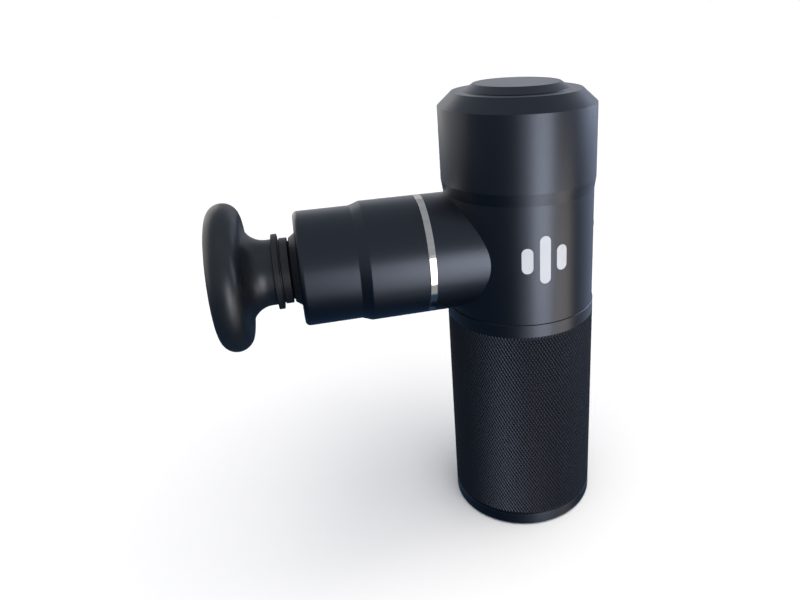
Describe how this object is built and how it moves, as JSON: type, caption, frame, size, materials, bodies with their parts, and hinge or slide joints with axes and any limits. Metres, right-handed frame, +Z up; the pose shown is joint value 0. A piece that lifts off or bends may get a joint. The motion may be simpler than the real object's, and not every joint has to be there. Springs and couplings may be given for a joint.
{
  "type": "massage gun",
  "caption": "Handheld percussion massage gun: knurled cylindrical handle, side arm with a reciprocating piston, and a pull-off mushroom massage head.",
  "frame": {"origin": "on the resting plane under the foot pad, on the handle's axis", "axes": "+Z up along the handle, the arm and massage head point along -X, the button and charging socket face +X, +Y is the side away from the usual viewer"},
  "size_m": [0.1201, 0.0492, 0.1465],
  "materials": {
    "anodised_body": "dark blue-black anodised aluminium, fine satin blast",
    "polished_ring": "polished bright ring",
    "head_rubber": "satin moulded rubber",
    "head_plastic": "satin black moulded plastic",
    "seal_rubber": "soft black rubber",
    "button_rubber": "soft-touch black plastic",
    "light_guide": "clear frosted plastic",
    "bare_steel": "ground steel",
    "screw_steel": "black oxide steel",
    "magnet": "nickel-plated magnet",
    "die_cast": "bare die-cast aluminium",
    "piston_aluminium": "hard-anodised turned aluminium",
    "bronze": "sintered bronze",
    "copper": "enamelled copper winding",
    "slide_plastic": "natural acetal",
    "holder_plastic": "black moulded plastic",
    "circuit_board": "green circuit board",
    "chip_plastic": "black component body",
    "cell_wrap": "shrink-wrapped cell",
    "nickel": "nickel strip",
    "wire_silicone": "silicone-insulated wire",
    "foam": "closed-cell foam"
  },
  "bodies": {
    "casing": {"upper_housing": "anodised_body", "top_cap": "anodised_body", "arm_neck": "anodised_body", "barrel": "anodised_body", "handle_sleeve": "anodised_body", "end_cap": "anodised_body", "trim_ring": "polished_ring", "nose_seal": "seal_rubber", "damping_rings": "seal_rubber", "foot_pad": "seal_rubber", "light_pipes": "light_guide", "motor_bearings": "bare_steel", "usb_socket": "bare_steel", "stator_core": "bare_steel", "guide_screws": "screw_steel", "motor_screws": "screw_steel", "board_screws": "screw_steel", "crankcase": "die_cast", "guide_tube": "die_cast", "motor_plate": "die_cast", "coupling_collar": "die_cast", "stator_coils": "copper", "guide_bush": "slide_plastic", "lower_cell_holder": "holder_plastic", "upper_cell_holder": "holder_plastic", "main_board": "circuit_board", "battery_board": "circuit_board", "board_chips": "chip_plastic", "tact_switch": "chip_plastic", "battery_cells": "cell_wrap", "cell_straps": "nickel", "motor_leads": "wire_silicone", "battery_leads": "wire_silicone", "battery_cushion": "foam"},
    "crank": {"motor_shaft": "bare_steel", "rotor_bell": "bare_steel", "rotor_magnets": "magnet", "crank_wheel": "bare_steel"},
    "piston": {"piston": "piston_aluminium", "wrist_pin": "bare_steel"},
    "rod": {"connecting_rod": "die_cast", "small_end_bush": "bronze", "big_end_bearing": "bare_steel", "crank_pin": "bare_steel"},
    "head": {"head_plug": "head_plastic", "head_o_ring": "seal_rubber", "head_body": "head_rubber"},
    "button": {"power_button": "button_rubber"}
  },
  "joints": [
    {"name": "crank_spin", "type": "hinge", "parent": "casing", "child": "crank", "pos_m": [0, 0, 0.0954], "axis": [0, 0, 1], "continuous": true},
    {"name": "piston_stroke", "type": "slide", "parent": "casing", "child": "piston", "axis": [-1, 0, 0], "range_m": [0, 0.007]},
    {"name": "rod_swing", "type": "hinge", "parent": "piston", "child": "rod", "pos_m": [-0.0265, 0, 0.0954], "axis": [0, 0, 1], "range_deg": [-6.7, 6.7]},
    {"name": "head_pull_off", "type": "slide", "parent": "piston", "child": "head", "axis": [-1, 0, 0], "range_m": [0, 0.03]},
    {"name": "button_press", "type": "slide", "parent": "casing", "child": "button", "axis": [-1, 0, 0], "range_m": [0, 0.0006], "stiffness_N_per_m": 1500, "springref_m": -0.001}
  ]
}
